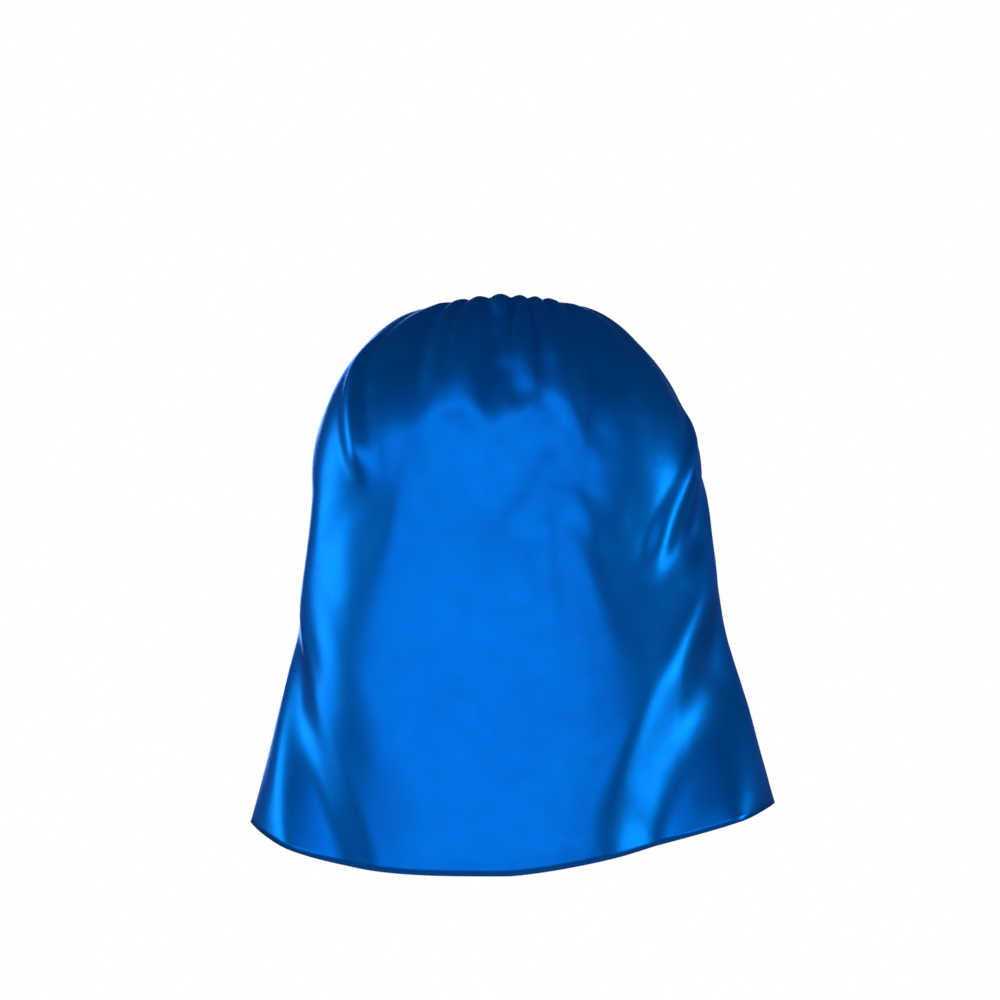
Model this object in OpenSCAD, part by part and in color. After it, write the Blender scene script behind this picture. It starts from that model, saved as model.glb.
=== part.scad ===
// Child's superhero cape, as it hangs when it is worn.
// Two layers of satin are gathered into the top of a folded neckband and turn
// over it, so that they hide it from outside. The neckband closes at the throat
// with two hook-and-loop straps.
// The wearer faces -Y. The origin is the centre of the neck opening.

/* [Neck] */
// Radius of the neck opening, inside the neckband
neck_radius = 58; // [54:1:64]
// Height of the neckband and of the straps
band_height = 20; // [18:1:26]
// Forward tilt of the neckband, in degrees
neck_tilt = 8; // [4:1:14]
// Angle from centre front to each strap's root, in degrees
strap_root = 50; // [46:1:54]

/* [Cape] */
// Half of the width over the shoulders
shoulder_half = 190; // [170:1:200]
// Half of the width at the hem's corners
hem_half = 253; // [220:1:270]
// Depth behind the neck at the shoulder blades
back_depth = 98; // [85:1:110]
// Depth behind the neck at the hem
hem_depth = 120; // [105:1:150]
// Depth in front of the neck over the collar bones
front_depth = 62; // [56:1:70]
// Drop from the top of the neckband to where the shoulders are full
shoulder_drop = 168; // [140:4:190]
// Drop from the top of the neckband to where the back is full, over the shoulder blades
blade_drop = 112; // [96:4:140]
// Drop from the origin to the hem at centre back
hem_drop = 523; // [460:1:580]
// Rise of the hem from centre back to its corners
hem_rise = 47; // [30:1:80]
// Depth of the soft folds at the hem
fold_depth = 4; // [0:1:8]

/* [Closure] */
// Length of the hook tape round the neck
hook_length = 34; // [24:1:38]
// Length of the loop tape round the neck
loop_length = 38; // [28:1:40]
// Height of both tapes
tape_height = 15; // [12:1:16]

/* [Label] */
// Width of the care label
label_width = 28; // [20:1:36]
// Length of the care label
label_length = 38; // [25:1:45]

/* [Hidden] */
$fn = 48;

satin_blue = [0.00, 0.33, 0.80];
lining_blue = [0.00, 0.28, 0.70];
thread_blue = [0.02, 0.22, 0.58];
tape_blue = [0.03, 0.16, 0.42];
label_white = [0.93, 0.93, 0.90];
interfacing_white = [0.90, 0.90, 0.88];

satin = 0.6;        // thickness that stands for one layer of satin
ply_gap = 0.3;      // free space between the cape's two layers
thread_d = 0.4;     // sewing thread
thread_clear = 0.1; // free space between a thread and the cloth beside it
filling = 0.5;      // thickness of the interfacing

// Radii across the neckband, from the neck outwards
slack = 0.2;
cloth_thick = 2 * satin + ply_gap;
seam_r = neck_radius + satin + slack + cloth_thick / 2;
gather_r = seam_r + cloth_thick / 2 + thread_clear / 2 + thread_d / 2;
band_out = gather_r + thread_d / 2 + slack + satin;
band_thick = band_out - neck_radius;
band_mid = neck_radius + band_thick / 2;
band_top = band_height / 2;

// The straps start at a round knuckle on the hinge line
knuckle_r = band_thick / 2;
knuckle_gap = 0.3;
band_end = 180 - strap_root - to_degrees(knuckle_r + knuckle_gap, band_mid);

// Radii across the closure, from the under strap outwards
tape = 1.1;
tape_clear = 0.1; // between a tape and the strap that it is sewn to
loop_r = band_out + tape_clear;
hook_r = loop_r + tape + 0.3;
over_rise = hook_r + tape + tape_clear - neck_radius;
under_tip = 22;     // angle past centre front of the under strap's tip
over_tip = 25;      // angle past centre front of the closure strap's tip
ramp = [24, strap_root - 4]; // angles between which the closure strap climbs over the under strap
strap_step = 2;     // degrees between the points of a strap's outline
strap_clear = 0.1;  // keeps the flats of a strap's outline out of the neck opening
tip_corner = 4;     // corner radius at a strap's tip
tip_wall = 1.2;     // closed end of the sleeve, in degrees

// Grid of the draped cloth
columns = 48;
rows = 24;
tuck = 6;           // seam allowance inside the neckband
turn = 1.9;         // radius of the turn over the neckband's outer wall
turn_r = seam_r + turn;
turn_rows = 4;
edge_gap = 4;       // degrees between the cape's front edge and the strap's root
corner_angle = 90;  // direction of the hem's corners, from centre back
plan_power = 2.3;   // roundness of the cape in plan: 2 would be an ellipse
flare_start = 160;  // drop at which the sides start to flare
corner_drop = hem_drop - hem_rise;

function to_degrees(length, radius) = length / radius * 180 / PI;
function smooth(x) = let(c = max(0, min(1, x))) c * c * (3 - 2 * c);
function mix(a, b, t) = a + (b - a) * t;
function unit(v) = v / norm(v);

// A point round the neck: angle from centre back, and height in the neckband's own plane
function ring_point(angle, radius, height) =
    [radius * sin(angle),
     radius * cos(angle) * cos(neck_tilt) - height * sin(neck_tilt),
     radius * cos(angle) * sin(neck_tilt) + height * cos(neck_tilt)];

// ---- The draped cloth: u runs from edge to edge, t from the neckband to the hem ----

// 0 at centre back and 1 at the side
function sideness(angle) = pow(sin(angle), 2);

// The turn over the neckband goes further round at the back than over the shoulders
function turn_end(angle) = mix(30, 80, sideness(angle));
function turn_point(angle, at) = ring_point(angle, turn_r + turn * cos(at), band_top + turn * sin(at));

function flare(drop) = max(0, drop - flare_start) / (corner_drop - flare_start);
function half_width(drop) = mix(shoulder_half, hem_half, pow(flare(drop), 1.5));
function depth(drop, angle) =
    abs(angle) < 90 ? mix(back_depth, hem_depth, pow(flare(drop), 1.3)) : front_depth;
function reach(drop, angle) =
    pow(pow(abs(sin(angle)) / half_width(drop), plan_power)
        + pow(abs(cos(angle)) / depth(drop, angle), plan_power), -1 / plan_power);
function cloth_angle(u, t) = u * mix(corner_angle, 180 - strap_root - edge_gap, pow(1 - t, 2.2));
function hem_z(u) = -hem_drop + hem_rise * pow(abs(u), 2.2);
// From 0 at the neckband to 1 where the shoulders or the back are full, as an arc of a superellipse
function swell(fall, side) =
    let(full = mix(blade_drop, shoulder_drop, side), power = mix(1.55, 1.85, side))
    pow(1 - pow(1 - min(1, fall / full), power), 1 / power);

// The middle surface between the two layers
function cloth(u, t) =
    let(angle = cloth_angle(u, t),
        top = turn_point(angle, turn_end(angle)),
        fall = (top.z - hem_z(u)) * t,
        fold = -fold_depth * pow(t, 1.6) * cos(540 * u),
        out = (reach(fall - top.z, angle) + fold - norm([top.x, top.y]))
            * swell(fall, sideness(angle)))
    [top.x + out * sin(angle), top.y + out * cos(angle), top.z - fall];

function column_u(i) = 2 * i / columns - 1;
function row_t(j) = pow(j / rows, 2);
// Each column starts with the seam allowance inside the neckband, then turns over it
grid = [for (i = [0 : columns])
    let(u = column_u(i), a = cloth_angle(u, 0))
    [ring_point(a, seam_r, band_top - tuck),
     for (k = [0 : turn_rows]) turn_point(a, mix(180, turn_end(a), k / turn_rows)),
     for (j = [1 : rows]) cloth(u, row_t(j))]];
hem_row = turn_rows + rows + 1;
function grid_normal(i, j) =
    unit(cross(grid[min(i + 1, columns)][j] - grid[max(i - 1, 0)][j],
               grid[i][min(j + 1, hem_row)] - grid[i][max(j - 1, 0)]));
normals = [for (i = [0 : columns]) [for (j = [0 : hem_row]) grid_normal(i, j)]];

// One layer of cloth, between two distances from the middle surface
module ply(inner, outer) {
    n = hem_row + 1;
    side = (columns + 1) * n;
    points = [for (d = [outer, inner], i = [0 : columns], j = [0 : hem_row]) grid[i][j] + d * normals[i][j]];
    function at(i, j) = i * n + j;
    faces = [
        for (i = [0 : columns - 1], j = [0 : hem_row - 1])
            each let(a = at(i, j), b = at(i + 1, j), c = at(i + 1, j + 1), d = at(i, j + 1))
                [[a, d, c], [a, c, b], [side + a, side + c, side + d], [side + a, side + b, side + c]],
        for (i = [0 : columns - 1])
            each let(a = at(i, 0), b = at(i + 1, 0), c = at(i, hem_row), d = at(i + 1, hem_row))
                [[a, b, side + b], [a, side + b, side + a], [d, c, side + c], [d, side + c, side + d]],
        for (j = [0 : hem_row - 1])
            each let(a = at(0, j), b = at(0, j + 1), c = at(columns, j), d = at(columns, j + 1))
                [[b, a, side + a], [b, side + a, side + b], [c, d, side + d], [c, side + d, side + c]]
    ];
    polyhedron(points, faces);
}

// A thread that follows points, each with the direction that faces away from the cloth
module thread(path, away, sides = 4) {
    last = len(path) - 1;
    rings = [for (k = [0 : last])
        let(along = unit(path[min(k + 1, last)] - path[max(k - 1, 0)]),
            across = unit(cross(along, away[k])))
        for (s = [0 : sides - 1])
            path[k] + thread_d / 2 * (cos(360 * s / sides) * away[k] + sin(360 * s / sides) * across)];
    faces = [
        for (k = [0 : last - 1], s = [0 : sides - 1])
            let(a = k * sides + s, b = k * sides + (s + 1) % sides)
                [a, b, b + sides, a + sides],
        [for (s = [sides - 1 : -1 : 0]) s],
        [for (s = [0 : sides - 1]) last * sides + s]
    ];
    polyhedron(rings, faces);
}

module cape_shell() {
    color(satin_blue) ply(ply_gap / 2, ply_gap / 2 + satin);
}

module cape_lining() {
    color(lining_blue) ply(-ply_gap / 2 - satin, -ply_gap / 2);
}

// The seam that joins the two layers, down the left edge, round the hem and up the right edge
module edge_seam_thread() {
    first = turn_rows + 1;
    function sideways(i, j) = unit(grid[i][j] - grid[i == 0 ? 1 : columns - 1][j]);
    function down(i) = unit(grid[i][hem_row] - grid[i][hem_row - 1]);
    function corner(i) = unit(sideways(i, hem_row) + down(i));
    seam = concat(
        [for (j = [first : hem_row - 1]) [grid[columns][j], sideways(columns, j)]],
        [[grid[columns][hem_row], corner(columns)]],
        [for (i = [columns - 1 : -1 : 1]) [grid[i][hem_row], down(i)]],
        [[grid[0][hem_row], corner(0)]],
        [for (j = [hem_row - 1 : -1 : first]) [grid[0][j], sideways(0, j)]]);
    color(thread_blue)
        thread([for (p = seam) p[0] + (thread_clear + thread_d / 2) * p[1]], [for (p = seam) p[1]]);
}

// ---- The neckband, in the tilted plane of the neck ----

module tilted() {
    rotate([neck_tilt, 0, 0]) children();
}

// An arc of a profile drawn at [radius, height], from one end of the neckband to the other
module round_back(trim = 0) {
    half = band_end - trim;
    rotate([0, 0, 90 - half]) rotate_extrude(angle = 2 * half) children();
}

module band_thread(radius, height) {
    tilted() round_back(1) translate([radius, height]) circle(d = thread_d);
}

// A strip of satin folded at the bottom, open at the top where it takes in the cape's raw edges
module neckband() {
    fold_z = band_thick / 2 - band_height / 2;
    color(satin_blue) tilted() round_back() difference() {
        union() {
            translate([neck_radius, fold_z]) square([band_thick, band_top - fold_z]);
            translate([band_mid, fold_z]) circle(band_thick / 2);
        }
        translate([neck_radius + satin, fold_z]) square([band_thick - 2 * satin, band_height]);
        translate([band_mid, fold_z]) circle(band_thick / 2 - satin);
    }
}

module neckband_interfacing() {
    bottom = band_thick / 2 - band_height / 2;
    top = band_top - tuck - 0.5;
    color(interfacing_white) tilted() round_back(0.5)
        translate([neck_radius + satin + slack, bottom]) square([filling, top - bottom]);
}

// The thread that gathers the raw edges, inside the neckband
module gathering_thread() {
    color(thread_blue) band_thread(gather_r, band_top - tuck / 2);
}

// The row that closes the neckband over the raw edges, under the turned cloth
module neckband_stitching() {
    color(thread_blue) band_thread(band_out + thread_clear + thread_d / 2, band_top - tuck / 2);
}

// ---- The straps, in the same plane; their angles run from centre front towards each root ----

function front_point(angle, radius) = [radius * sin(angle), -radius * cos(angle)];
function climb(angle) = over_rise * (1 - smooth((angle - ramp[0]) / (ramp[1] - ramp[0])));
hinge = front_point(strap_root, band_mid);

// Outline between two radii, each raised where the strap climbs
module strap_outline(tip, inner, outer, climbs, root = strap_root) {
    angles = [for (a = [-tip : strap_step : root]) a, root];
    function raised(a, radius) = front_point(a, radius + (climbs ? climb(a) : 0));
    polygon(concat(
        [for (a = angles) raised(a, inner)],
        [for (k = [len(angles) - 1 : -1 : 0]) raised(angles[k], outer)]));
}

// Rounds the corners at the strap's tip, seen from the front
module tip_shape(tip, radius) {
    corner_x = tip_corner - radius * sin(tip);
    corner_z = band_height / 2 - tip_corner;
    rotate([90, 0, 0]) linear_extrude(4 * neck_radius, center = true) hull() {
        for (z = [-corner_z, corner_z]) translate([corner_x, z]) circle(tip_corner);
        translate([hinge.x + 2 * knuckle_r, -band_height / 2]) square([1, band_height]);
    }
}

// A satin sleeve, closed at its tip, with room for its interfacing
module strap(tip, climbs) {
    difference() {
        intersection() {
            union() {
                linear_extrude(band_height, center = true)
                    strap_outline(tip, neck_radius + strap_clear, band_out, climbs);
                translate([hinge.x, hinge.y, -band_height / 2]) cylinder(h = band_height, r = knuckle_r);
            }
            tip_shape(tip, neck_radius + (climbs ? over_rise : 0));
        }
        linear_extrude(band_height - 2 * satin, center = true)
            strap_outline(tip - tip_wall, neck_radius + satin, band_out - satin, climbs, strap_root - 3);
    }
}

module strap_filling(tip, climbs) {
    linear_extrude(band_height - 2 * satin - 1, center = true)
        strap_outline(tip - 6, neck_radius + satin + slack, neck_radius + satin + slack + filling,
            climbs, strap_root - 4);
}

// A rectangle of thread on a strap, between two angles
module thread_box(low, high, height, radius_at) {
    run = [for (a = [low : strap_step : high]) a, high];
    last = len(run) - 1;
    turn = [for (k = [0 : last]) [run[k], -height / 2], for (k = [last : -1 : 0]) [run[k], height / 2],
            [run[0], -height / 2 + 1]];
    function place(p) =
        let(f = front_point(p[0], radius_at(p[0]) + thread_clear + thread_d / 2)) [f.x, f.y, p[1]];
    thread([for (p = turn) place(p)], [for (p = turn) [sin(p[0]), -cos(p[0]), 0]]);
}

module mirrored_side() {
    mirror([1, 0, 0]) children();
}

closure_outside = function (a) band_out + climb(a);
under_outside = function (a) band_out;

module closure_strap() {
    color(satin_blue) tilted() strap(over_tip, true);
}

module closure_strap_interfacing() {
    color(interfacing_white) tilted() strap_filling(over_tip, true);
}

module closure_strap_stitching() {
    color(thread_blue) tilted() thread_box(ramp[0] + 1, strap_root - 5, band_height - 4, closure_outside);
}

module tape_arc(low, high, radius) {
    rotate([0, 0, low - 90]) rotate_extrude(angle = high - low)
        translate([radius, -tape_height / 2]) square([tape, tape_height]);
}

hook_half = to_degrees(hook_length, hook_r) / 2;
loop_half = to_degrees(loop_length, loop_r) / 2;

module hook_tape() {
    color(tape_blue) tilted() tape_arc(-hook_half, hook_half, hook_r);
}

module hook_tape_stitching() {
    color(thread_blue) tilted()
        thread_box(-hook_half + 2, hook_half - 2, tape_height - 3, closure_outside);
}

module under_strap() {
    color(satin_blue) tilted() mirrored_side() strap(under_tip, false);
}

module under_strap_interfacing() {
    color(interfacing_white) tilted() mirrored_side() strap_filling(under_tip, false);
}

module under_strap_stitching() {
    color(thread_blue) tilted() mirrored_side()
        thread_box(loop_half + 3, strap_root - 5, band_height - 4, under_outside);
}

module loop_tape() {
    color(tape_blue) tilted() tape_arc(-loop_half, loop_half, loop_r);
}

// The row that holds the loop tape, round its rim
module loop_tape_stitching() {
    color(thread_blue) tilted()
        thread_box(-loop_half - 1.2, loop_half + 1.2, tape_height + 1.4, under_outside);
}

// ---- The care label, which hangs from the seam at centre back ----

label_thick = 0.4;
label_pivot = ring_point(0, neck_radius + 0.5, -band_height / 2 - 1.2);

module care_label() {
    color(label_white) translate(label_pivot) {
        rotate([0, 90, 0]) cylinder(h = label_width, r = label_thick / 2, center = true);
        translate([-label_width / 2, -label_thick / 2, -label_length])
            cube([label_width, label_thick, label_length]);
    }
}

// Two rows of stitches across the top of the label, on its inner face
module care_label_stitching() {
    color(thread_blue)
        for (row = [2, 4])
            translate(label_pivot - [0, label_thick / 2 + 0.05 + thread_d / 2, row])
                rotate([0, 90, 0]) cylinder(h = label_width - 3, d = thread_d, center = true);
}

cape_shell();
cape_lining();
edge_seam_thread();
gathering_thread();
neckband();
neckband_interfacing();
neckband_stitching();
closure_strap();
closure_strap_interfacing();
closure_strap_stitching();
hook_tape();
hook_tape_stitching();
under_strap();
under_strap_interfacing();
under_strap_stitching();
loop_tape();
loop_tape_stitching();
care_label();
care_label_stitching();
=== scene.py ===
"""A child's blue satin superhero cape, as it hangs when it is worn.

Two layers of satin are gathered into the top of a folded neckband and turn over it.
The cloth's first shape is worked out on a grid, then settled by cloth simulation over
the shape of a body, which isn't kept. The wearer faces -Y, and +X is the wearer's left.
Lengths are in metres and angles in degrees. An angle round the neck starts at centre back.
"""

import math
import random

import bpy
import numpy as np
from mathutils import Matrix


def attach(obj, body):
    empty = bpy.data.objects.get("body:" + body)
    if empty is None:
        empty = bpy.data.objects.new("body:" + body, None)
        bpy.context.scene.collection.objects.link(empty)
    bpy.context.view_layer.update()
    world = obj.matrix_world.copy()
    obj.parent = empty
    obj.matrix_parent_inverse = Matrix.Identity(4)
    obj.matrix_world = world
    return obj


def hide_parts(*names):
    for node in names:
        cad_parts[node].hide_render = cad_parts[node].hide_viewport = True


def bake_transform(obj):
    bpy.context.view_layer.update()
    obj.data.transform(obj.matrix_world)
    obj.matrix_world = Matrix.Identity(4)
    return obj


MM = 0.001
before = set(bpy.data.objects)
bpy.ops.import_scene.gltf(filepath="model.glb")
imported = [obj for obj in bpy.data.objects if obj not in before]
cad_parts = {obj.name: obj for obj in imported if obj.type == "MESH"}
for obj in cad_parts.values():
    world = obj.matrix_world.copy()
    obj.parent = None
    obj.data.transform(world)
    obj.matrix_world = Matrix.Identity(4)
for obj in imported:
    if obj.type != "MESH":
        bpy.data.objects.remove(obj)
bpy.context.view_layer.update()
scene = bpy.context.scene

# ---- The neckband, the same as the CAD model's ----
NECK_RADIUS = 58 * MM
NECK_TILT = 8
BAND_HEIGHT = 20 * MM
BAND_OUT = 61.55 * MM  # outer face
BAND_END = 128
SEAM_R = 59.55 * MM  # where the gathered cloth enters it
TUCK = 6 * MM

# ---- The straps and tapes, as radii about the neck ----
STRAP_MIDDLE = 59.83 * MM
STRAP_FACE = 61.53 * MM
STITCH_SINK = 0.22 * MM  # stitches round a strap lie in its groove
HOOK_BASE = 63.93 * MM  # the middle of each tape's woven strip
LOOP_BASE = 61.82 * MM
TAPE_HALF_HIGH = 7.5 * MM
PILE_HALF_HIGH = 6.6 * MM  # hooks and loops keep off the tape's woven edges

# ---- The hanging cloth, close to the CAD model's ----
SHOULDER_HALF = 190 * MM
SHOULDER_DROP = 168 * MM
HEM_HALF_LEFT = 246 * MM
HEM_HALF_RIGHT = 262 * MM
HEM_DROP = 522 * MM
HEM_RISE_LEFT = 38 * MM  # the corners of the hem are higher than its middle
HEM_RISE_RIGHT = 55 * MM
BACK_DEPTH = 98 * MM
BLADE_DROP = 112 * MM  # the cloth leaves the back at the shoulder blades
SCALLOP = 0.24  # share of that drop by which it varies across the back
BLADE_POWER = 1.55  # how round the yoke is: 1 is straight and 2 an ellipse
SHOULDER_POWER_LEFT = 1.82
SHOULDER_POWER_RIGHT = 1.72
HEM_DEPTH = 116 * MM
FRONT_DEPTH = 62 * MM
EDGE_ANGLE = 126  # the front edges at the neck
CORNER_ANGLE = 90  # and at the hem
FLARE_START = 160 * MM
FLARE_END = HEM_DROP - 47 * MM
PLAN_POWER = 2.3  # a rounded rectangle, seen from above

# ---- The grid of the cloth ----
COLUMNS = 180
ROWS = 128
TURN_ROWS = 7  # over the neckband's top
LOBES = 14  # gathers round the whole neckline

# ---- The satin's two faces, from the grid between both layers ----
OUTER_FACE = 0.45 * MM
INNER_FACE = 0.10 * MM
EDGE_OUTER_FACE = 0.16 * MM  # both layers are pressed thin at the seam
EDGE_INNER_FACE = 0.02 * MM
EDGE_ROWS = 3.0

# ---- Settling by simulation ----
SETTLE_FRAMES = 26
CONTACT = 1.2 * MM
EVEN_ROUNDS = 14  # of evening out what the simulation moved
KEPT_HIGH, KEPT_LOW = 0.8, 0.45  # share of it that is used, at the top and at the hem
CLOTH_SETTINGS = {
    "quality": 5,
    "mass": 0.0006,
    "air_damping": 1.0,
    "tension_stiffness": 60,
    "compression_stiffness": 15,
    "shear_stiffness": 10,
    "bending_stiffness": 0.4,
    "tension_damping": 8,
    "compression_damping": 8,
    "shear_damping": 8,
    "bending_damping": 0.5,
    "vertex_group_mass": "pin",
}


# ------------------------------------------------------------------ small tools

def mix(a, b, t):
    return a + (b - a) * t


def smooth(x):
    x = np.clip(x, 0, 1)
    return x * x * (3 - 2 * x)


def bump(x):
    """1 at 0, falling smoothly to 0 at -1 and 1."""
    return np.where(np.abs(x) < 1, (0.5 + 0.5 * np.cos(math.pi * np.clip(x, -1, 1))), 0)


def unit(v):
    return v / np.maximum(np.linalg.norm(v, axis=-1, keepdims=True), 1e-12)


def sin_d(a):
    return np.sin(np.radians(a))


def cos_d(a):
    return np.cos(np.radians(a))


def tilted(points):
    """Turns points from the neckband's own plane into the frame."""
    p = np.asarray(points, float)
    c, s = math.cos(math.radians(NECK_TILT)), math.sin(math.radians(NECK_TILT))
    x, y, z = p[..., 0], p[..., 1], p[..., 2]
    return np.stack([x, c * y - s * z, s * y + c * z], -1)


def ring_point(angle, radius, height):
    """A point round the neck: angle from centre back, height in the neckband's own plane."""
    angle, radius, height = np.broadcast_arrays(angle, radius, height)
    return tilted(np.stack([radius * sin_d(angle), radius * cos_d(angle), height], -1))


def grid_faces(columns, rows, offset=0, flip=False, wrap=False):
    """Quads over a grid of columns by rows points, stored column by column."""
    across = columns if wrap else columns - 1
    i, j = np.meshgrid(np.arange(across), np.arange(rows - 1), indexing="ij")
    a = i * rows + j
    b = (i + 1) % columns * rows + j
    quads = np.stack([a, b, b + 1, a + 1], -1).reshape(-1, 4) + offset
    return quads[:, ::-1] if flip else quads


def make_mesh(name, points, faces, material, uv=None):
    mesh = bpy.data.meshes.new(name)
    vertices = np.asarray(points, float).reshape(-1, 3).tolist()
    mesh.from_pydata(vertices, [], [list(map(int, face)) for face in faces])
    if uv is not None:
        layer = mesh.uv_layers.new(name="flat")
        vertex = np.zeros(len(mesh.loops), np.int32)
        mesh.loops.foreach_get("vertex_index", vertex)
        layer.data.foreach_set("uv", np.asarray(uv, np.float32)[vertex].ravel())
    mesh.polygons.foreach_set("use_smooth", [True] * len(mesh.polygons))
    mesh.validate()
    mesh.update()
    if material:
        mesh.materials.append(material)
    obj = bpy.data.objects.new(name, mesh)
    scene.collection.objects.link(obj)
    return obj


def grid_normals(points):
    """Unit normals of a grid of columns by rows points. They face out of the cape."""
    along = np.gradient(points, axis=0)
    down = np.gradient(points, axis=1)
    return unit(np.cross(along, down))


def sheet_solid(points, normals, outer, inner):
    """Points and faces of a closed thin solid between two distances from a grid."""
    columns, rows = points.shape[:2]
    count = columns * rows
    top = points + normals * outer[..., None]
    bottom = points + normals * inner[..., None]
    at = np.arange(count).reshape(columns, rows)
    rim = np.concatenate([at[:, 0], at[-1, 1:], at[-2::-1, -1], at[0, -2:0:-1]])
    after = np.roll(rim, -1)
    faces = np.concatenate([
        grid_faces(columns, rows),
        grid_faces(columns, rows, offset=count, flip=True),
        np.stack([after, rim, rim + count, after + count], -1),
    ])
    return np.concatenate([top.reshape(-1, 3), bottom.reshape(-1, 3)]), faces


# ------------------------------------------------------------------ materials

def new_material(name):
    material = bpy.data.materials.new(name)
    material.use_nodes = True
    nodes, links = material.node_tree.nodes, material.node_tree.links
    return material, nodes, links, nodes["Principled BSDF"]


def satin_material(name, colour, shade):
    """Glossy satin: a soft coloured shine, its fine weave and slight unevenness."""
    material, nodes, links, shader = new_material(name)
    where = nodes.new("ShaderNodeTexCoord")
    cloudy = nodes.new("ShaderNodeTexNoise")
    cloudy.inputs["Scale"].default_value = 9
    cloudy.inputs["Detail"].default_value = 3
    links.new(where.outputs["Object"], cloudy.inputs["Vector"])
    tint = nodes.new("ShaderNodeMixRGB")
    tint.inputs["Color1"].default_value = (*shade, 1)
    tint.inputs["Color2"].default_value = (*colour, 1)
    ramp = nodes.new("ShaderNodeMapRange")
    ramp.inputs["From Min"].default_value = 0.3
    ramp.inputs["From Max"].default_value = 0.7
    links.new(cloudy.outputs["Fac"], ramp.inputs["Value"])
    links.new(ramp.outputs["Result"], tint.inputs["Fac"])
    links.new(tint.outputs["Color"], shader.inputs["Base Color"])

    weave = nodes.new("ShaderNodeTexWave")
    weave.inputs["Scale"].default_value = 420
    weave.inputs["Distortion"].default_value = 1.5
    weave.inputs["Detail"].default_value = 1
    weave.bands_direction = "DIAGONAL"
    links.new(where.outputs["Object"], weave.inputs["Vector"])
    uneven = nodes.new("ShaderNodeTexNoise")
    uneven.inputs["Scale"].default_value = 55
    uneven.inputs["Detail"].default_value = 4
    links.new(where.outputs["Object"], uneven.inputs["Vector"])
    fine = nodes.new("ShaderNodeBump")
    fine.inputs["Strength"].default_value = 0.12
    fine.inputs["Distance"].default_value = 0.0001
    links.new(weave.outputs["Fac"], fine.inputs["Height"])
    broad = nodes.new("ShaderNodeBump")
    broad.inputs["Strength"].default_value = 0.25
    broad.inputs["Distance"].default_value = 0.0008
    links.new(uneven.outputs["Fac"], broad.inputs["Height"])
    links.new(fine.outputs["Normal"], broad.inputs["Normal"])
    links.new(broad.outputs["Normal"], shader.inputs["Normal"])

    gloss = nodes.new("ShaderNodeMapRange")
    gloss.inputs["To Min"].default_value = 0.31
    gloss.inputs["To Max"].default_value = 0.40
    links.new(uneven.outputs["Fac"], gloss.inputs["Value"])
    links.new(gloss.outputs["Result"], shader.inputs["Roughness"])
    shader.inputs["Metallic"].default_value = 0.8
    shader.inputs["Specular IOR Level"].default_value = 0.45
    shader.inputs["Specular Tint"].default_value = (0.1, 0.5, 1, 1)
    shader.inputs["Sheen Weight"].default_value = 0.12
    shader.inputs["Sheen Roughness"].default_value = 0.4
    shader.inputs["Sheen Tint"].default_value = (0.05, 0.4, 1, 1)
    return material


def plain_material(name, colour, roughness, noise_scale, strength=0.3, spread=0.12):
    """Thread, tape, ribbon and stiffening: a grainy surface with a little change of colour."""
    material, nodes, links, shader = new_material(name)
    where = nodes.new("ShaderNodeTexCoord")
    grain = nodes.new("ShaderNodeTexNoise")
    grain.inputs["Scale"].default_value = noise_scale
    grain.inputs["Detail"].default_value = 3
    links.new(where.outputs["Object"], grain.inputs["Vector"])
    tint = nodes.new("ShaderNodeMixRGB")
    tint.inputs["Color1"].default_value = (*[c * (1 - spread) for c in colour], 1)
    tint.inputs["Color2"].default_value = (*[min(1, c * (1 + spread)) for c in colour], 1)
    links.new(grain.outputs["Fac"], tint.inputs["Fac"])
    links.new(tint.outputs["Color"], shader.inputs["Base Color"])
    surface = nodes.new("ShaderNodeBump")
    surface.inputs["Strength"].default_value = strength
    surface.inputs["Distance"].default_value = 0.0001
    links.new(grain.outputs["Fac"], surface.inputs["Height"])
    links.new(surface.outputs["Normal"], shader.inputs["Normal"])
    shader.inputs["Roughness"].default_value = roughness
    return material


SHELL = satin_material("shell_satin", (0.0006, 0.190, 0.86), (0.0004, 0.160, 0.78))
LINING = satin_material("lining_satin", (0.0006, 0.165, 0.78), (0.0004, 0.140, 0.70))
THREAD = plain_material("blue_thread", (0.002, 0.09, 0.48), 0.5, noise_scale=2500)
HOOKS = plain_material("nylon_hooks", (0.012, 0.045, 0.19), 0.32, noise_scale=1400, strength=0.15)
LOOPS = plain_material("nylon_loops", (0.012, 0.055, 0.24), 0.75, noise_scale=2200, spread=0.3)
RIBBON = plain_material("label_ribbon", (0.86, 0.86, 0.82), 0.42,
                        noise_scale=1500, strength=0.2, spread=0.04)
STIFFENING = plain_material("stiffening", (0.82, 0.82, 0.79), 0.9,
                            noise_scale=600, strength=0.5, spread=0.08)


# ------------------------------------------------------------------ the cape's cloth

def flare(drop):
    """0 where the cape starts to widen and 1 near the hem."""
    return np.maximum(0, drop - FLARE_START) / (FLARE_END - FLARE_START)


def plan_reach(drop, angle, back_hem=HEM_DEPTH):
    """How far the cape reaches from the neck's axis, at a drop below the origin."""
    hem_half = np.where(angle > 0, HEM_HALF_LEFT, HEM_HALF_RIGHT)
    wide = mix(SHOULDER_HALF, hem_half, flare(drop) ** 1.5)
    back = mix(BACK_DEPTH, back_hem, flare(drop) ** 1.3)
    deep = np.where(np.abs(angle) < 90, back, FRONT_DEPTH)
    sideways = np.abs(sin_d(angle) / wide) ** PLAN_POWER
    forward = np.abs(cos_d(angle) / deep) ** PLAN_POWER
    return (sideways + forward) ** (-1 / PLAN_POWER)


def side_reach(drop, angle):
    """How far to the side the cape reaches in that direction."""
    return plan_reach(drop, angle) * np.abs(sin_d(angle))


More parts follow.
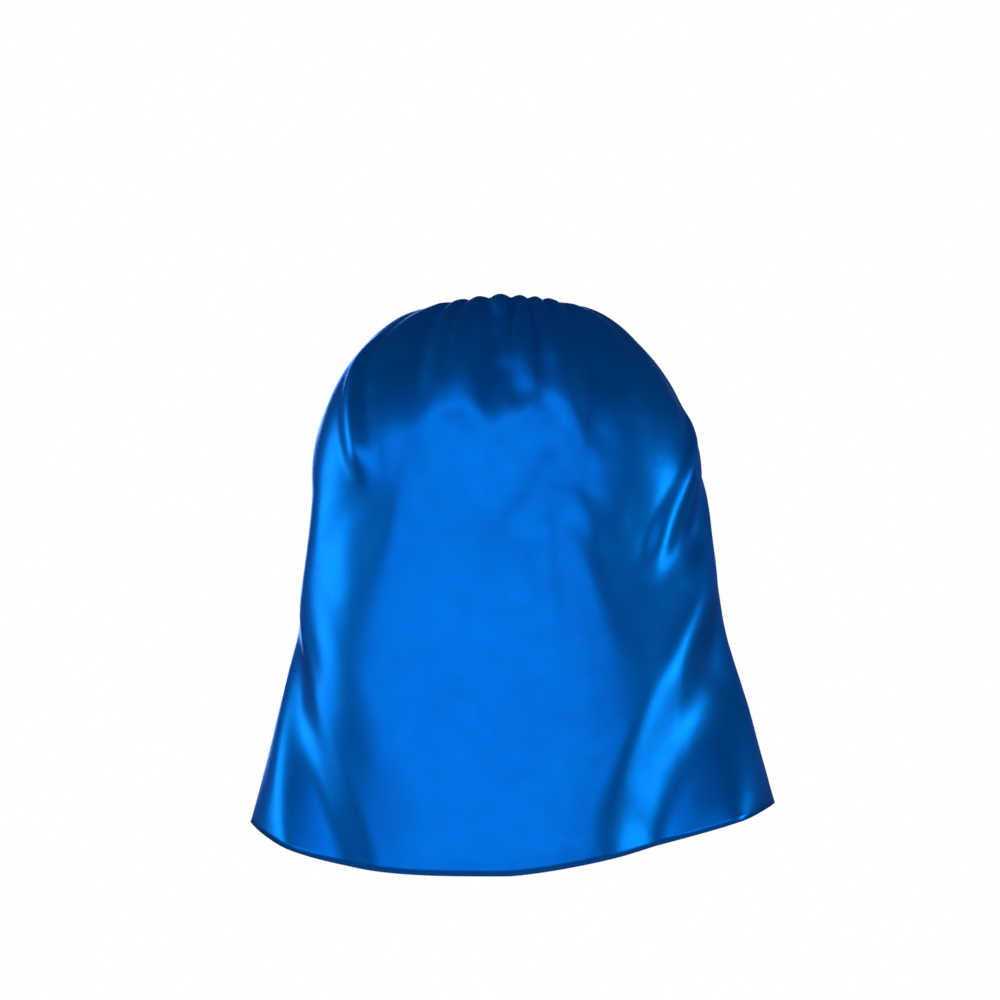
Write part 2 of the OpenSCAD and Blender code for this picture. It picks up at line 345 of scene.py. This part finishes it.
def swell(fall, angle):
    """0 at the neckband and 1 where the shoulders or the shoulder blades are full.

    Across the back that place is higher and lower in turn, which scallops the yoke.
    """
    side = sin_d(angle) ** 2
    shoulder_power = np.where(angle > 0, SHOULDER_POWER_LEFT, SHOULDER_POWER_RIGHT)
    power = mix(BLADE_POWER, shoulder_power, side)
    scallop = SCALLOP * np.cos(4.6 * np.radians(angle) + 1.3 * sin_d(3 * angle + 40) - 0.9)
    full = mix(BLADE_DROP, SHOULDER_DROP, side) * (1 + scallop * (1 - side))
    return (1 - (1 - np.clip(fall / full, 0, 1)) ** power) ** (1 / power)


def cloth_angle(u, t):
    """The angle round the neck of a place on the cloth: u is -1 to 1, t is 0 at the top."""
    return u * mix(CORNER_ANGLE, EDGE_ANGLE, (1 - t) ** 2.2)


def gather_phase(u):
    """Runs through a whole turn for each gather. Their widths differ."""
    even = math.pi * LOBES * (u + 1)
    return even + 1.1 * np.sin(5.3 * u + 0.7) + 0.7 * np.sin(11.9 * u + 2.1)


def gather_size(u):
    """About 1, and different for each gather."""
    return 1 + 0.22 * np.sin(7.7 * u + 1.3) + 0.14 * np.sin(17.3 * u + 0.4)


def lobe(phase):
    """Round ridges with narrow valleys between them, from 0 to 1."""
    return np.sqrt(np.sin(phase / 2) ** 2 + 0.02) - math.sqrt(0.02)


def turn_point(u, angle, at):
    """The turn over the neckband's outer wall. It is larger where a gather stands up."""
    size = gather_size(u) * lobe(gather_phase(u))
    radius = (1.6 + 2.6 * size) * MM
    height = BAND_HEIGHT / 2 + radius * sin_d(at)
    return ring_point(angle, SEAM_R + radius + radius * cos_d(at), height)


def turn_end(angle):
    """Where round the turn the cloth leaves it: further on at the back than at the sides."""
    return mix(25, 75, sin_d(angle) ** 2)


def hung(top, angle, out, fall):
    """Points that far out and down from the points of a ring."""
    x, y, z = top[..., 0], top[..., 1], top[..., 2]
    return np.stack([x + out * sin_d(angle), y + out * cos_d(angle), z - fall], -1)


def drape(u, t):
    """The cape's smooth shape, without gathers or folds."""
    angle = cloth_angle(u, t)
    top = turn_point(u, angle, turn_end(angle))
    hem = side_reach(FLARE_END, u * CORNER_ANGLE)
    foot = -HEM_DROP + np.where(u > 0, HEM_RISE_LEFT * (hem / HEM_HALF_LEFT) ** 3.5,
                                HEM_RISE_RIGHT * (hem / HEM_HALF_RIGHT) ** 1.3)
    fall = (top[..., 2] - foot) * t
    neck = np.hypot(top[..., 0], top[..., 1])
    out = (plan_reach(fall - top[..., 2], angle) - neck) * swell(fall, angle)
    return hung(top, angle, out, fall)


def crease(u, t, start, end, width, height):
    """A long soft ridge, or valley where height is negative, between two places on the cloth."""
    (u0, t0), (u1, t1) = start, end
    du, dt = u1 - u0, t1 - t0
    along = ((u - u0) * du + (t - t0) * dt) / (du * du + dt * dt)
    across = ((u - u0) * dt - (t - t0) * du) / math.hypot(du, dt)
    grow = smooth(along / 0.35) * (1 - smooth((along - 0.9) / 0.35))
    return height * bump(across / (width * mix(0.55, 1.0, np.clip(along, 0, 1)))) * grow


# Folds of the hanging cloth: start and end as (u, t), half width in u, height
CREASES = [
    ((0.95, 0.56), (0.56, 1.04), 0.26, -8 * MM),
    ((1.00, 0.54), (0.64, 1.04), 0.13, -8 * MM),
    ((-0.99, 0.55), (-0.58, 1.04), 0.24, -20 * MM),
    ((-1.02, 0.42), (-0.96, 0.98), 0.14, 3 * MM),
    ((-0.77, 0.18), (-0.64, 0.46), 0.06, 5 * MM),
    ((-0.92, 0.22), (-0.76, 0.46), 0.08, -7 * MM),
    ((0.64, 0.04), (0.58, 0.28), 0.06, 6 * MM),
]


def folded(u, t):
    """The hanging cloth with its folds."""
    points = drape(u, t)
    relief = np.zeros(points.shape[:2])
    for start, end, width, height in CREASES:
        relief = relief + crease(u, t, start, end, width, height)
    return points + grid_normals(points) * relief[..., None]


def gathers(u, angle, down):
    """How far the gathers stand out, at a length down the cloth from the neckband's turn.

    The fine ones soon end. Broader ones run on over the yoke, and faint waves below it.
    """
    size, phase, side = gather_size(u), gather_phase(u), sin_d(angle) ** 2
    first = (2.4 * MM * smooth(down / 0.012) * np.exp(-((down / 0.04) ** 1.6))
             * size * (lobe(phase) - 0.5))
    reach = mix(0.105, 0.155, 0.5 - 0.5 * np.cos(8.0 * u + 0.4))
    second_phase = phase / 2 + 0.8 * np.sin(4.3 * u + 0.9)
    second = (mix(9, 6, side) * MM * smooth(down / 0.05) * np.exp(-((down / reach) ** 4))
              * (lobe(second_phase) - 0.4))
    third_phase = phase / 4.2 + 2.6 + 3 * (down - 0.1)
    third = (3 * MM * smooth((down - 0.03) / 0.10) * np.exp(-((down / 0.18) ** 2.2))
             * np.sin(third_phase))
    return first + second + third


def cloth_start():
    """The grid from the tuck in the neckband to the hem, with its gathers and folds."""
    u = np.linspace(-1, 1, COLUMNS + 1)[:, None]
    t = (np.arange(1, ROWS + 1)[None, :] / ROWS) ** 1.45
    angle = cloth_angle(u, np.zeros((1, 1)))
    steps = [np.broadcast_to(turn_point(u, angle, mix(180, turn_end(angle), k / TURN_ROWS)),
                             (COLUMNS + 1, 1, 3)) for k in range(TURN_ROWS + 1)]
    tuck = ring_point(angle, SEAM_R, BAND_HEIGHT / 2 - TUCK)
    points = np.concatenate([tuck, *steps, folded(u, t)], axis=1)

    normals = grid_normals(points)
    lengths = np.linalg.norm(np.diff(points[:, TURN_ROWS + 1:], axis=1), axis=-1)
    down = np.cumsum(lengths, axis=1)
    below = normals[:, TURN_ROWS + 2:]
    points[:, TURN_ROWS + 2:] += below * gathers(u, angle, down)[..., None]
    return points


def body_form():
    """The shoulders, arms and back that the cloth settles on. It isn't part of the cape."""
    angles = np.linspace(-180, 180, 181)[:-1][:, None]
    rows, below_hem = 90, 0.06
    levels = np.linspace(0, 1, rows)[None, :]
    top = ring_point(angles, BAND_OUT + 0.3 * MM, BAND_HEIGHT / 2 - 1 * MM)
    fall = (top[..., 2] + HEM_DROP + below_hem) * levels ** 1.3
    drop = fall - top[..., 2]
    neck = np.hypot(top[..., 0], top[..., 1])
    low = smooth((drop - 0.14) / 0.16)
    gap = bump((np.abs(angles) - 60) / 42)  # between the arms and the back
    reach = plan_reach(drop, angles, back_hem=BACK_DEPTH - 6 * MM) - low * (34 * gap + 4) * MM
    out = (reach - neck) * swell(fall, angles) - 4 * MM * smooth(fall / 0.01)
    points = hung(top, angles, out, fall)
    return make_mesh("body_form", points, grid_faces(len(angles), rows, wrap=True), None)


def settle(points):
    """Lets the cloth hang and touch the body by cloth simulation."""
    columns, rows = points.shape[:2]
    cloth = make_mesh("settling_cloth", points, grid_faces(columns, rows), None)
    form = body_form()
    form.modifiers.new("collision", "COLLISION")
    form.collision.thickness_outer = CONTACT
    form.collision.cloth_friction = 12
    pin = cloth.vertex_groups.new(name="pin")
    at = np.arange(columns * rows).reshape(columns, rows)
    pin.add([int(v) for v in at[:, :TURN_ROWS + 3].ravel()], 1.0, "REPLACE")
    for column in (0, columns - 1):  # the hem's two corners
        pin.add([int(v) for v in at[column, -6:]], 1.0, "REPLACE")
    modifier = cloth.modifiers.new("cloth", "CLOTH")
    for setting, value in CLOTH_SETTINGS.items():
        setattr(modifier.settings, setting, value)
    modifier.collision_settings.collision_quality = 2
    modifier.collision_settings.distance_min = CONTACT
    modifier.collision_settings.use_self_collision = False
    modifier.point_cache.frame_start = 1
    modifier.point_cache.frame_end = SETTLE_FRAMES
    scene.frame_start, scene.frame_end = 1, SETTLE_FRAMES
    for number in range(1, SETTLE_FRAMES + 1):
        scene.frame_set(number)
    done = cloth.evaluated_get(bpy.context.evaluated_depsgraph_get()).to_mesh()
    result = np.zeros(columns * rows * 3, np.float32)
    done.vertices.foreach_get("co", result)
    cloth.to_mesh_clear()
    scene.frame_set(1)
    for obj in (cloth, form):
        mesh = obj.data
        bpy.data.objects.remove(obj)
        bpy.data.meshes.remove(mesh)
    return result.astype(float).reshape(columns, rows, 3)


def relax(points, rounds, first_row):
    """Evens out a grid of vectors below the gathers, leaving the edges as they are."""
    p = points.copy()
    for _ in range(rounds):
        inner = p[1:-1, first_row:-1]
        beside = p[:-2, first_row:-1] + p[2:, first_row:-1]
        around = beside + p[1:-1, first_row - 1:-2] + p[1:-1, first_row + 1:]
        p[1:-1, first_row:-1] = inner + 0.5 * (around / 4 - inner)
    return p


def build_cape():
    """The outer layer and the lining, and the grid between them."""
    points = cloth_start()
    columns, rows = points.shape[:2]
    shift = relax(settle(points) - points, EVEN_ROUNDS, TURN_ROWS + 4)
    low = smooth((np.arange(rows) / rows - 0.45) / 0.35)[None, :, None]
    points = points + shift * mix(KEPT_HIGH, KEPT_LOW, low)
    normals = grid_normals(points)
    side = np.minimum(np.arange(columns), np.arange(columns)[::-1])[:, None]
    foot = (rows - 1 - np.arange(rows))[None, :]
    open_up = smooth(np.minimum(side, foot) / EDGE_ROWS)
    outer = mix(EDGE_OUTER_FACE, OUTER_FACE, open_up)
    inner = mix(EDGE_INNER_FACE, INNER_FACE, open_up)
    u_length = np.linalg.norm(np.diff(points[:, -1], axis=0), axis=-1).sum()
    v_length = np.linalg.norm(np.diff(points[columns // 2], axis=0), axis=-1).sum()
    across = np.linspace(-0.5, 0.5, columns)[:, None] * u_length
    down = np.linspace(0, 1, rows)[None, :] * v_length
    uv = np.stack(np.broadcast_arrays(across, down), -1).reshape(-1, 2)
    uv = np.concatenate([uv, uv])
    pieces = []
    for name, node, material, high, low in (
        ("outer_cloth", "cape_shell", SHELL, outer, inner),
        ("lining_cloth", "cape_lining", LINING, -inner, -outer),
    ):
        solid, faces = sheet_solid(points, normals, high, low)
        piece = make_mesh(name, solid, faces, material, uv)
        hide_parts(node)
        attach(piece, "cape")
        pieces.append(piece)
    return points, pieces


points, (outer_cloth, lining_cloth) = build_cape()


# ------------------------------------------------------------------ thread

def tubes(paths, away, radius, sides=6):
    """Points and faces of many closed tubes. Each path has a direction across it at each point."""
    count, length = paths.shape[:2]
    along = unit(np.gradient(paths, axis=1))
    across = unit(np.cross(along, away))
    up = np.cross(across, along)
    turn = np.arange(sides) * 2 * math.pi / sides
    ring = up[:, :, None] * np.cos(turn)[:, None] + across[:, :, None] * np.sin(turn)[:, None]
    points = paths[:, :, None] + ring * np.broadcast_to(radius, (length,))[:, None, None]
    k, s = np.meshgrid(np.arange(length - 1), np.arange(sides), indexing="ij")
    a, b = k * sides + s, k * sides + (s + 1) % sides
    one = np.stack([a, b, b + sides, a + sides], -1).reshape(-1, 4)
    start = np.arange(count) * length * sides
    quads = (one[None] + start[:, None, None]).reshape(-1, 4).tolist()
    low = (start[:, None] + np.arange(sides)[::-1]).tolist()
    high = (start[:, None] + (length - 1) * sides + np.arange(sides)).tolist()
    return points.reshape(-1, 3), quads + low + high


def stitches(path, away, length=2.4 * MM, gap=0.7 * MM, radius=0.18 * MM, lift=0.04 * MM):
    """A row of machine stitches along a path. Each one dips into the cloth at both ends."""
    run = np.concatenate([[0], np.cumsum(np.linalg.norm(np.diff(path, axis=0), axis=1))])
    count = max(1, int(run[-1] / (length + gap)))
    pitch = run[-1] / count
    x = np.linspace(0, 1, 7)
    at = (np.arange(count)[:, None] + mix(0.5 * gap / pitch, 1 - 0.5 * gap / pitch, x)[None]) * pitch
    place = np.stack([np.interp(at, run, path[:, k]) for k in range(3)], -1)
    out = unit(np.stack([np.interp(at, run, away[:, k]) for k in range(3)], -1))
    arch = np.sin(math.pi * x) ** 0.6
    place = place + out * ((arch - 0.75) * radius + lift)[None, :, None]
    return tubes(place, out, radius * mix(0.6, 1, arch))


def stitched(name, rows, body, *nodes, **sizes):
    """One piece made of several rows of stitches. It stands for CAD threads."""
    points, faces = [], []
    for path, away in rows:
        more, quads = stitches(np.asarray(path, float), np.asarray(away, float), **sizes)
        offset = sum(len(p) for p in points)
        points.append(more)
        faces += [[v + offset for v in face] for face in quads]
    piece = make_mesh(name, np.concatenate(points), faces, THREAD)
    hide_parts(*nodes)
    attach(piece, body)


def build_cape_threads(points):
    """The seam inside the cape's two sides and hem, and the rows that hold its top edge."""
    first = TURN_ROWS + 2
    rows = [points[-2, first:-1], points[-2:0:-1, -2], points[1, -2:first - 1:-1]]
    out = grid_normals(points)
    away = [out[-2, first:-1], out[-2:0:-1, -2], out[1, -2:first - 1:-1]]
    stitched("edge_seam_stitches", zip(rows, away), "cape", "edge_seam_thread",
             length=2.6 * MM, radius=0.11 * MM, lift=-0.03 * MM)
    angles = np.linspace(-BAND_END + 1.5, BAND_END - 1.5, 400)
    outward = ring_point(angles, 1, 0)
    row = ring_point(angles, BAND_OUT, BAND_HEIGHT / 2 - 3 * MM)
    stitched("neckband_stitches", [(row, outward)], "cape", "neckband_stitching")
    gather = ring_point(angles, SEAM_R + 0.95 * MM, BAND_HEIGHT / 2 - 3 * MM)
    stitched("gathering_stitches", [(gather, outward)], "cape", "gathering_thread",
             length=4.2 * MM, gap=0.5 * MM, radius=0.16 * MM)


# ------------------------------------------------------------------ the neckband and straps

def strip_solid(name, points, thickness, material):
    """A closed strip of even thickness about a grid."""
    half = np.full(points.shape[:2], thickness / 2)
    solid, faces = sheet_solid(points, grid_normals(points), half, -half)
    return make_mesh(name, solid, faces, material)


def build_neckband():
    """A strip of satin folded at the bottom. Its outer wall puckers along the stitches."""
    angles = np.linspace(-BAND_END, BAND_END, 380)[:, None]
    centre, half = 59.775 * MM, 1.5 * MM
    low = -BAND_HEIGHT / 2 + 1.775 * MM
    turn = np.linspace(0, -180, 13)[None, 1:-1]
    wall = np.linspace(BAND_HEIGHT / 2 - 0.2 * MM, low, 14)[None, :]
    ones = np.ones_like(angles)
    flat = ones * np.ones_like(wall)
    radius = np.concatenate([(centre + half) * flat, centre + half * cos_d(turn) * ones,
                             (centre - half) * flat], axis=1)
    height = np.concatenate([wall * ones, low + half * sin_d(turn) * ones, wall[:, ::-1] * ones], axis=1)
    near_row = np.exp(-((height - BAND_HEIGHT / 2 + 3 * MM) / (4 * MM)) ** 2)
    pucker = 0.10 * MM * np.sin(angles * 5.1 + 2 * np.sin(angles * 0.31)) * near_row
    wave = 0.08 * MM * np.sin(angles * 0.9 + 1.2 * np.sin(angles * 0.17))
    radius = radius - np.where(radius > centre, np.abs(pucker) + np.abs(wave), 0)
    piece = strip_solid("neckband_satin", ring_point(angles, radius, height), 0.5 * MM, SHELL)
    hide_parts("neckband")
    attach(piece, "cape")


def climb(psi):
    """How far the closure strap stands out, to lie over the under strap."""
    return 6.25 * MM * (1 - smooth((psi - 24) / 22))


def strap_point(psi, radius, height, side):
    """A point on a strap: angle from centre front towards its root, which is on +X or -X."""
    return ring_point(180 - side * psi, radius, height)


def build_strap(name, node, tip, side, rise):
    """A satin sleeve pressed flat. Its tip is rounded and a stitched groove runs round it."""
    root, corner, half_high, half_thick = 51.6, 4 * MM, BAND_HEIGHT / 2, 1.70 * MM
    middle = STRAP_MIDDLE
    psi = np.concatenate([np.arange(root, -tip + 3, -0.8),
                          np.linspace(-tip + 3, -tip + 0.02, 16)])[:, None]
    run = np.radians(psi + tip) * (middle + rise(psi))
    rounding = np.clip(corner - run, 0, corner)
    high = half_high - corner + np.sqrt(corner ** 2 - rounding ** 2)
    edge = np.concatenate([[-1, -0.992, -0.97], np.linspace(-0.94, 0.94, 27), [0.97, 0.992, 1]])[None, :]
    close = np.sqrt(np.clip(1 - (1 - np.clip(run / (1.6 * MM), 0, 1)) ** 2, 0, 1))
    close = mix(0.25, 1, close)
    inside = np.minimum(high * (1 - np.abs(edge)), run + 0 * edge)
    pitch = 0.75 + 0.25 * np.cos(2 * math.pi * run / (3.1 * MM))
    groove = 0.32 * MM * pitch * np.exp(-((inside - 2 * MM) / (0.65 * MM)) ** 2)
    rounded = (1 - np.abs(edge) ** 18) ** 0.5
    plump = half_thick * rounded * close * mix(0.80, 1, smooth(inside / (3 * MM)))
    wave = (0.07 * MM * np.sin(run / MM * 0.55 + 3 * edge)
            + 0.05 * MM * np.sin(run / MM * 1.3 - 5 * edge))
    plump = np.maximum(plump - groove - np.abs(wave), 0.1 * MM * rounded)
    height = high * edge
    outer = strap_point(psi, middle + rise(psi) + plump, height, side)
    inner = strap_point(psi, middle + rise(psi) - plump, height, side)[:, -2:0:-1]
    section = np.concatenate([outer, inner], axis=1)
    stations, around = section.shape[:2]
    i, j = np.meshgrid(np.arange(stations - 1), np.arange(around), indexing="ij")
    a, b = i * around + j, i * around + (j + 1) % around
    quads = np.stack([a, b, b + around, a + around], -1).reshape(-1, 4)
    caps = [list(range(around))[::-1], list(range((stations - 1) * around, stations * around))]
    if side > 0:
        quads = quads[:, ::-1]
        caps = [c[::-1] for c in caps]
    piece = make_mesh(name, section, quads.tolist() + caps, SHELL)
    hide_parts(node)
    tuple(strap_point(51.6, middle, 0, side))
    tuple(strap_point(46, middle, 0, side))
    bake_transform(piece)


def box_row(low, high, tall, radius, side):
    """A rectangle of stitching on a strap, with rounded corners, at a radius for each angle."""
    mid, half = (low + high) / 2, (high - low) / 2
    turn = np.linspace(0, 360, 361)
    squareness = 0.28
    x = np.abs(cos_d(turn)) ** squareness * np.sign(cos_d(turn))
    y = np.abs(sin_d(turn)) ** squareness * np.sign(sin_d(turn))
    psi, height = mid + half * x, tall / 2 * y
    path = strap_point(psi, radius(psi), height, side)
    return path, strap_point(psi, 1, 0, side)


def build_strap_threads():
    """The stitching round both straps, and round the hook and loop tapes."""
    over = lambda psi: STRAP_FACE + climb(psi) - STITCH_SINK
    under = lambda psi: STRAP_FACE + 0 * psi - STITCH_SINK
    over_tape = lambda psi: STRAP_FACE + climb(psi) - 0.04 * MM
    loop_edge = lambda psi: LOOP_BASE + 0.2 * MM + 0 * psi
    strap_high = 16 * MM
    stitched("closure_strap_stitches", [box_row(-23.1, 45, strap_high, over, 1)],
             "closure_end", "closure_strap_stitching")
    stitched("under_strap_stitches", [box_row(-20.1, 45, strap_high, under, -1)],
             "under_end", "under_strap_stitching")
    stitched("hook_tape_stitches", [box_row(-13.6, 13.6, 12.6 * MM, over_tape, 1)],
             "closure_end", "hook_tape_stitching")
    stitched("loop_tape_stitches", [box_row(-16.6, 16.6, 13.2 * MM, loop_edge, -1)],
             "under_end", "loop_tape_stitching")


def tape_base(low, high, radius, thickness, half_high):
    """The woven strip under the hooks or loops, thinner at its woven edges."""
    psi = np.linspace(low, high, 60)[:, None]
    edge = np.concatenate([[-1, -0.985], np.linspace(-0.95, 0.95, 15), [0.985, 1]])[None, :]
    middle = ring_point(180 - psi, radius, half_high * edge)
    thin = thickness / 2 * np.where(np.abs(edge) > 0.9, 0.62, 1.0) * np.ones_like(psi)
    return sheet_solid(middle, unit(ring_point(180 - psi, 1, 0) + 0 * middle), thin, -thin)


def build_hook_tape():
    """A strip with rows of small bent hooks that point at the loop tape."""
    random.seed(11)
    half, pitch = 15.3, 1.15  # degrees round the neck
    foot = HOOK_BASE - 0.18 * MM
    points, faces = tape_base(-half, half, HOOK_BASE, 0.4 * MM, TAPE_HALF_HIGH)
    arch = np.array([(0, 0), (0, 0.28), (0.04, 0.46), (0.14, 0.56), (0.27, 0.55), (0.34, 0.44)]) * MM
    thick = np.array([0.13, 0.11, 0.1, 0.1, 0.1, 0.07]) * MM
    paths, away = [], []
    for k, height in enumerate(np.linspace(-PILE_HALF_HIGH, PILE_HALF_HIGH, 12)):
        lean = 1 if k % 2 else -1
        for psi in np.arange(-half + 0.7, half - 0.6, pitch):
            psi += random.uniform(-0.08, 0.08) + 0.5 * (k % 2)
            turn = np.degrees(lean * arch[:, 0] / (63.5 * MM))
            paths.append(ring_point(180 - psi - turn, foot - arch[:, 1], height + 0 * turn))
            away.append(tilted(np.tile([0, 0, 1.0], (len(arch), 1))))
    hooks, hook_faces = tubes(np.array(paths), np.array(away), thick, 5)
    faces = faces.tolist() + [[v + len(points) for v in face] for face in hook_faces]
    piece = make_mesh("hook_tape_hooks", np.concatenate([points, hooks]), faces, HOOKS)
    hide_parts("hook_tape")
    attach(piece, "closure_end")


def build_loop_tape():
    """A strip covered in fine brushed loops."""
    random.seed(23)
    half = 17.5  # degrees round the neck
    foot = LOOP_BASE + 0.13 * MM
    loop_count, whole_turn = 1150, 6.283
    points, faces = tape_base(-half, half, LOOP_BASE, 0.36 * MM, TAPE_HALF_HIGH)
    x = np.linspace(0, 1, 7)
    paths, away = [], []
    for _ in range(loop_count):
        psi = random.uniform(-half + 0.5, half - 0.5)
        height = random.uniform(-PILE_HALF_HIGH, PILE_HALF_HIGH)
        aim, wide = random.uniform(0, whole_turn), random.uniform(0.35, 0.8) * MM
        tall, lean = random.uniform(0.35, 0.75) * MM, random.uniform(-0.25, 0.25) * MM
        across = wide * (x - 0.5) + lean * np.sin(math.pi * x)
        turn = np.degrees(across * math.cos(aim) / (62 * MM))
        paths.append(ring_point(180 - psi - turn, foot + tall * np.sin(math.pi * x) ** 0.7,
                                height + across * math.sin(aim)))
        away.append(ring_point(180 - psi - turn, 1, 0) + 0.01)
    loops, loop_faces = tubes(np.array(paths), np.array(away), 0.035 * MM, 4)
    faces = faces.tolist() + [[v + len(points) for v in face] for face in loop_faces]
    piece = make_mesh("loop_tape_loops", np.concatenate([points, loops]), faces, LOOPS)
    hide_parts("loop_tape")
    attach(piece, "under_end")


# ------------------------------------------------------------------ the care label

LABEL_WIDE, LABEL_LONG, LABEL_TUCK = 28 * MM, 38 * MM, 1.6 * MM


def label_surface(x, down):
    """The label hangs from the neckband's lower fold. It curls a little away from the neck."""
    pivot = ring_point(0, 58.5 * MM, -11.2 * MM)
    part, across = np.clip(down / LABEL_LONG, 0, 1), x / LABEL_WIDE * 2
    curl = 2.6 * MM * part ** 2.2 + 0.9 * MM * part * across ** 2 * np.sin(3 * part + 0.4)
    twist = 0.9 * MM * part ** 1.5 * across
    tuck = np.clip(-down / LABEL_TUCK, 0, 1)
    bend = x ** 2 / (2 * NECK_RADIUS) * (1 - part)  # follows the neckband's curve at the top
    top = ring_point(0, 59.5 * MM, -9.7 * MM)
    y = mix(pivot[1], top[1], tuck) - bend + curl + twist
    z = pivot[2] - np.maximum(down, 0) + (top[2] - pivot[2]) * tuck + 0.4 * MM * part ** 3
    x, y, z = np.broadcast_arrays(x, y, z)
    return np.stack([x, y, z], -1)


def build_label():
    """A blank ribbon sewn on with two rows of stitches."""
    x = np.linspace(-LABEL_WIDE / 2, LABEL_WIDE / 2, 41)[:, None]
    down = np.concatenate([np.linspace(-LABEL_TUCK, -0.2 * MM, 6),
                           np.linspace(0, 1, 46) * LABEL_LONG])[None, :]
    points = label_surface(x, down)
    piece = strip_solid("care_label_ribbon", points, 0.24 * MM, RIBBON)
    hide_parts("care_label")
    tuple(label_surface(np.array(0.0), np.array(-1.6 * MM)))
    tuple(label_surface(np.array(0.0), np.array(1.4 * MM)))
    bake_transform(piece)
    end = LABEL_WIDE / 2 - 1.5 * MM
    run = np.linspace(-end, end, 60)
    rows = []
    for depth in (2 * MM, 4 * MM):
        path = label_surface(run, np.full_like(run, depth))
        path[:, 1] -= 0.13 * MM
        rows.append((path, np.tile([0, -1.0, 0], (len(run), 1))))
    stitched("care_label_stitches", rows, "label", "care_label_stitching",
             radius=0.13 * MM, length=2 * MM)


build_cape_threads(points)
build_neckband()
build_strap("closure_strap_satin", "closure_strap", 25, 1, climb)
build_strap("under_strap_satin", "under_strap", 22, -1, lambda psi: 0 * psi)
build_strap_threads()
build_hook_tape()
build_loop_tape()
build_label()
for node in ("neckband_interfacing", "closure_strap_interfacing", "under_strap_interfacing"):
    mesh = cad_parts[node].data
    mesh.materials.clear()
    mesh.materials.append(STIFFENING)


# ------------------------------------------------------------------ stage, lights and camera

def build_stage():
    """A plain floor far below. The camera sees it and the world as one even white."""
    material, nodes, links, shader = new_material("pale_floor")
    shader.inputs["Base Color"].default_value = (0.75, 0.75, 0.75, 1)
    shader.inputs["Roughness"].default_value = 0.9
    white = nodes.new("ShaderNodeEmission")
    seen = nodes.new("ShaderNodeLightPath")
    choose = nodes.new("ShaderNodeMixShader")
    links.new(seen.outputs["Is Camera Ray"], choose.inputs["Fac"])
    links.new(shader.outputs["BSDF"], choose.inputs[1])
    links.new(white.outputs["Emission"], choose.inputs[2])
    links.new(choose.outputs["Shader"], nodes["Material Output"].inputs["Surface"])
    half, height = 60, -2.6
    corners = [(x * half, y * half, height) for x, y in ((-1, -1), (1, -1), (1, 1), (-1, 1))]
    floor = make_mesh("floor", corners, [(0, 1, 2, 3)], material)


def area_light(name, place, target, size, power, colour=(1, 1, 1)):
    """A rectangular light of that size in metres and power in watts, facing the target."""
    light = bpy.data.lights.new(name, "AREA")
    light.shape = "RECTANGLE"
    light.size, light.size_y = size
    light.energy = power
    light.color = colour
    obj = bpy.data.objects.new(name, light)
    scene.collection.objects.link(obj)
    obj.location = place
    direction = np.subtract(target, place)
    flat = math.hypot(direction[0], direction[1])
    obj.rotation_euler = (math.pi / 2 + math.atan2(direction[2], flat), 0,
                          math.atan2(direction[1], direction[0]) - math.pi / 2)


def build_lights():
    """A wide light behind the cape, one at each side and one in front, under a dim sky."""
    greenish = (0.7, 1.0, 0.8)
    area_light("back_key", (0.5, 3.0, -0.25), (0, 0, -0.3), (4.8, 1.1), 26)
    area_light("left_side", (2.8, 0.2, 0.05), (0, 0, -0.25), (1.3, 1.2), 17, greenish)
    area_light("right_side", (-2.6, 0.8, -0.5), (0, 0, -0.3), (0.8, 1.0), 13, greenish)
    area_light("front_fill", (0.5, -3.0, 0.2), (0, 0, -0.2), (2.0, 1.6), 40)
    world = bpy.data.worlds.new("studio")
    scene.world = world
    world.use_nodes = True
    nodes, links = world.node_tree.nodes, world.node_tree.links
    background = nodes["Background"]
    where = nodes.new("ShaderNodeTexCoord")
    split = nodes.new("ShaderNodeSeparateXYZ")
    links.new(where.outputs["Generated"], split.inputs["Vector"])
    fade = nodes.new("ShaderNodeMapRange")
    fade.inputs["From Min"].default_value = 0.0
    fade.inputs["From Max"].default_value = 0.5
    fade.inputs["To Min"].default_value = 0.26
    fade.inputs["To Max"].default_value = 0.09
    links.new(split.outputs["Z"], fade.inputs["Value"])
    seen = nodes.new("ShaderNodeLightPath")
    strength = nodes.new("ShaderNodeMix")
    links.new(seen.outputs["Is Camera Ray"], strength.inputs["Factor"])
    links.new(fade.outputs["Result"], strength.inputs["A"])
    strength.inputs["B"].default_value = 1.0
    links.new(strength.outputs["Result"], background.inputs["Strength"])
    background.inputs["Color"].default_value = (1, 1, 1, 1)


def build_camera():
    """Straight behind the cape, level with its middle."""
    camera = bpy.data.cameras.new("camera")
    obj = bpy.data.objects.new("camera", camera)
    scene.collection.objects.link(obj)
    distance, width, depth = 2.54, 0.95, 0.06  # the width is seen at that distance
    aside, height = 6.6 * MM, -0.172
    camera.sensor_width = 36
    camera.lens = camera.sensor_width * distance / width
    obj.location = (aside, depth + distance, height)
    obj.rotation_euler = (math.pi / 2, 0, math.pi)
    scene.camera = obj


build_camera()
build_stage()
build_lights()
scene.view_settings.view_transform = "Standard"
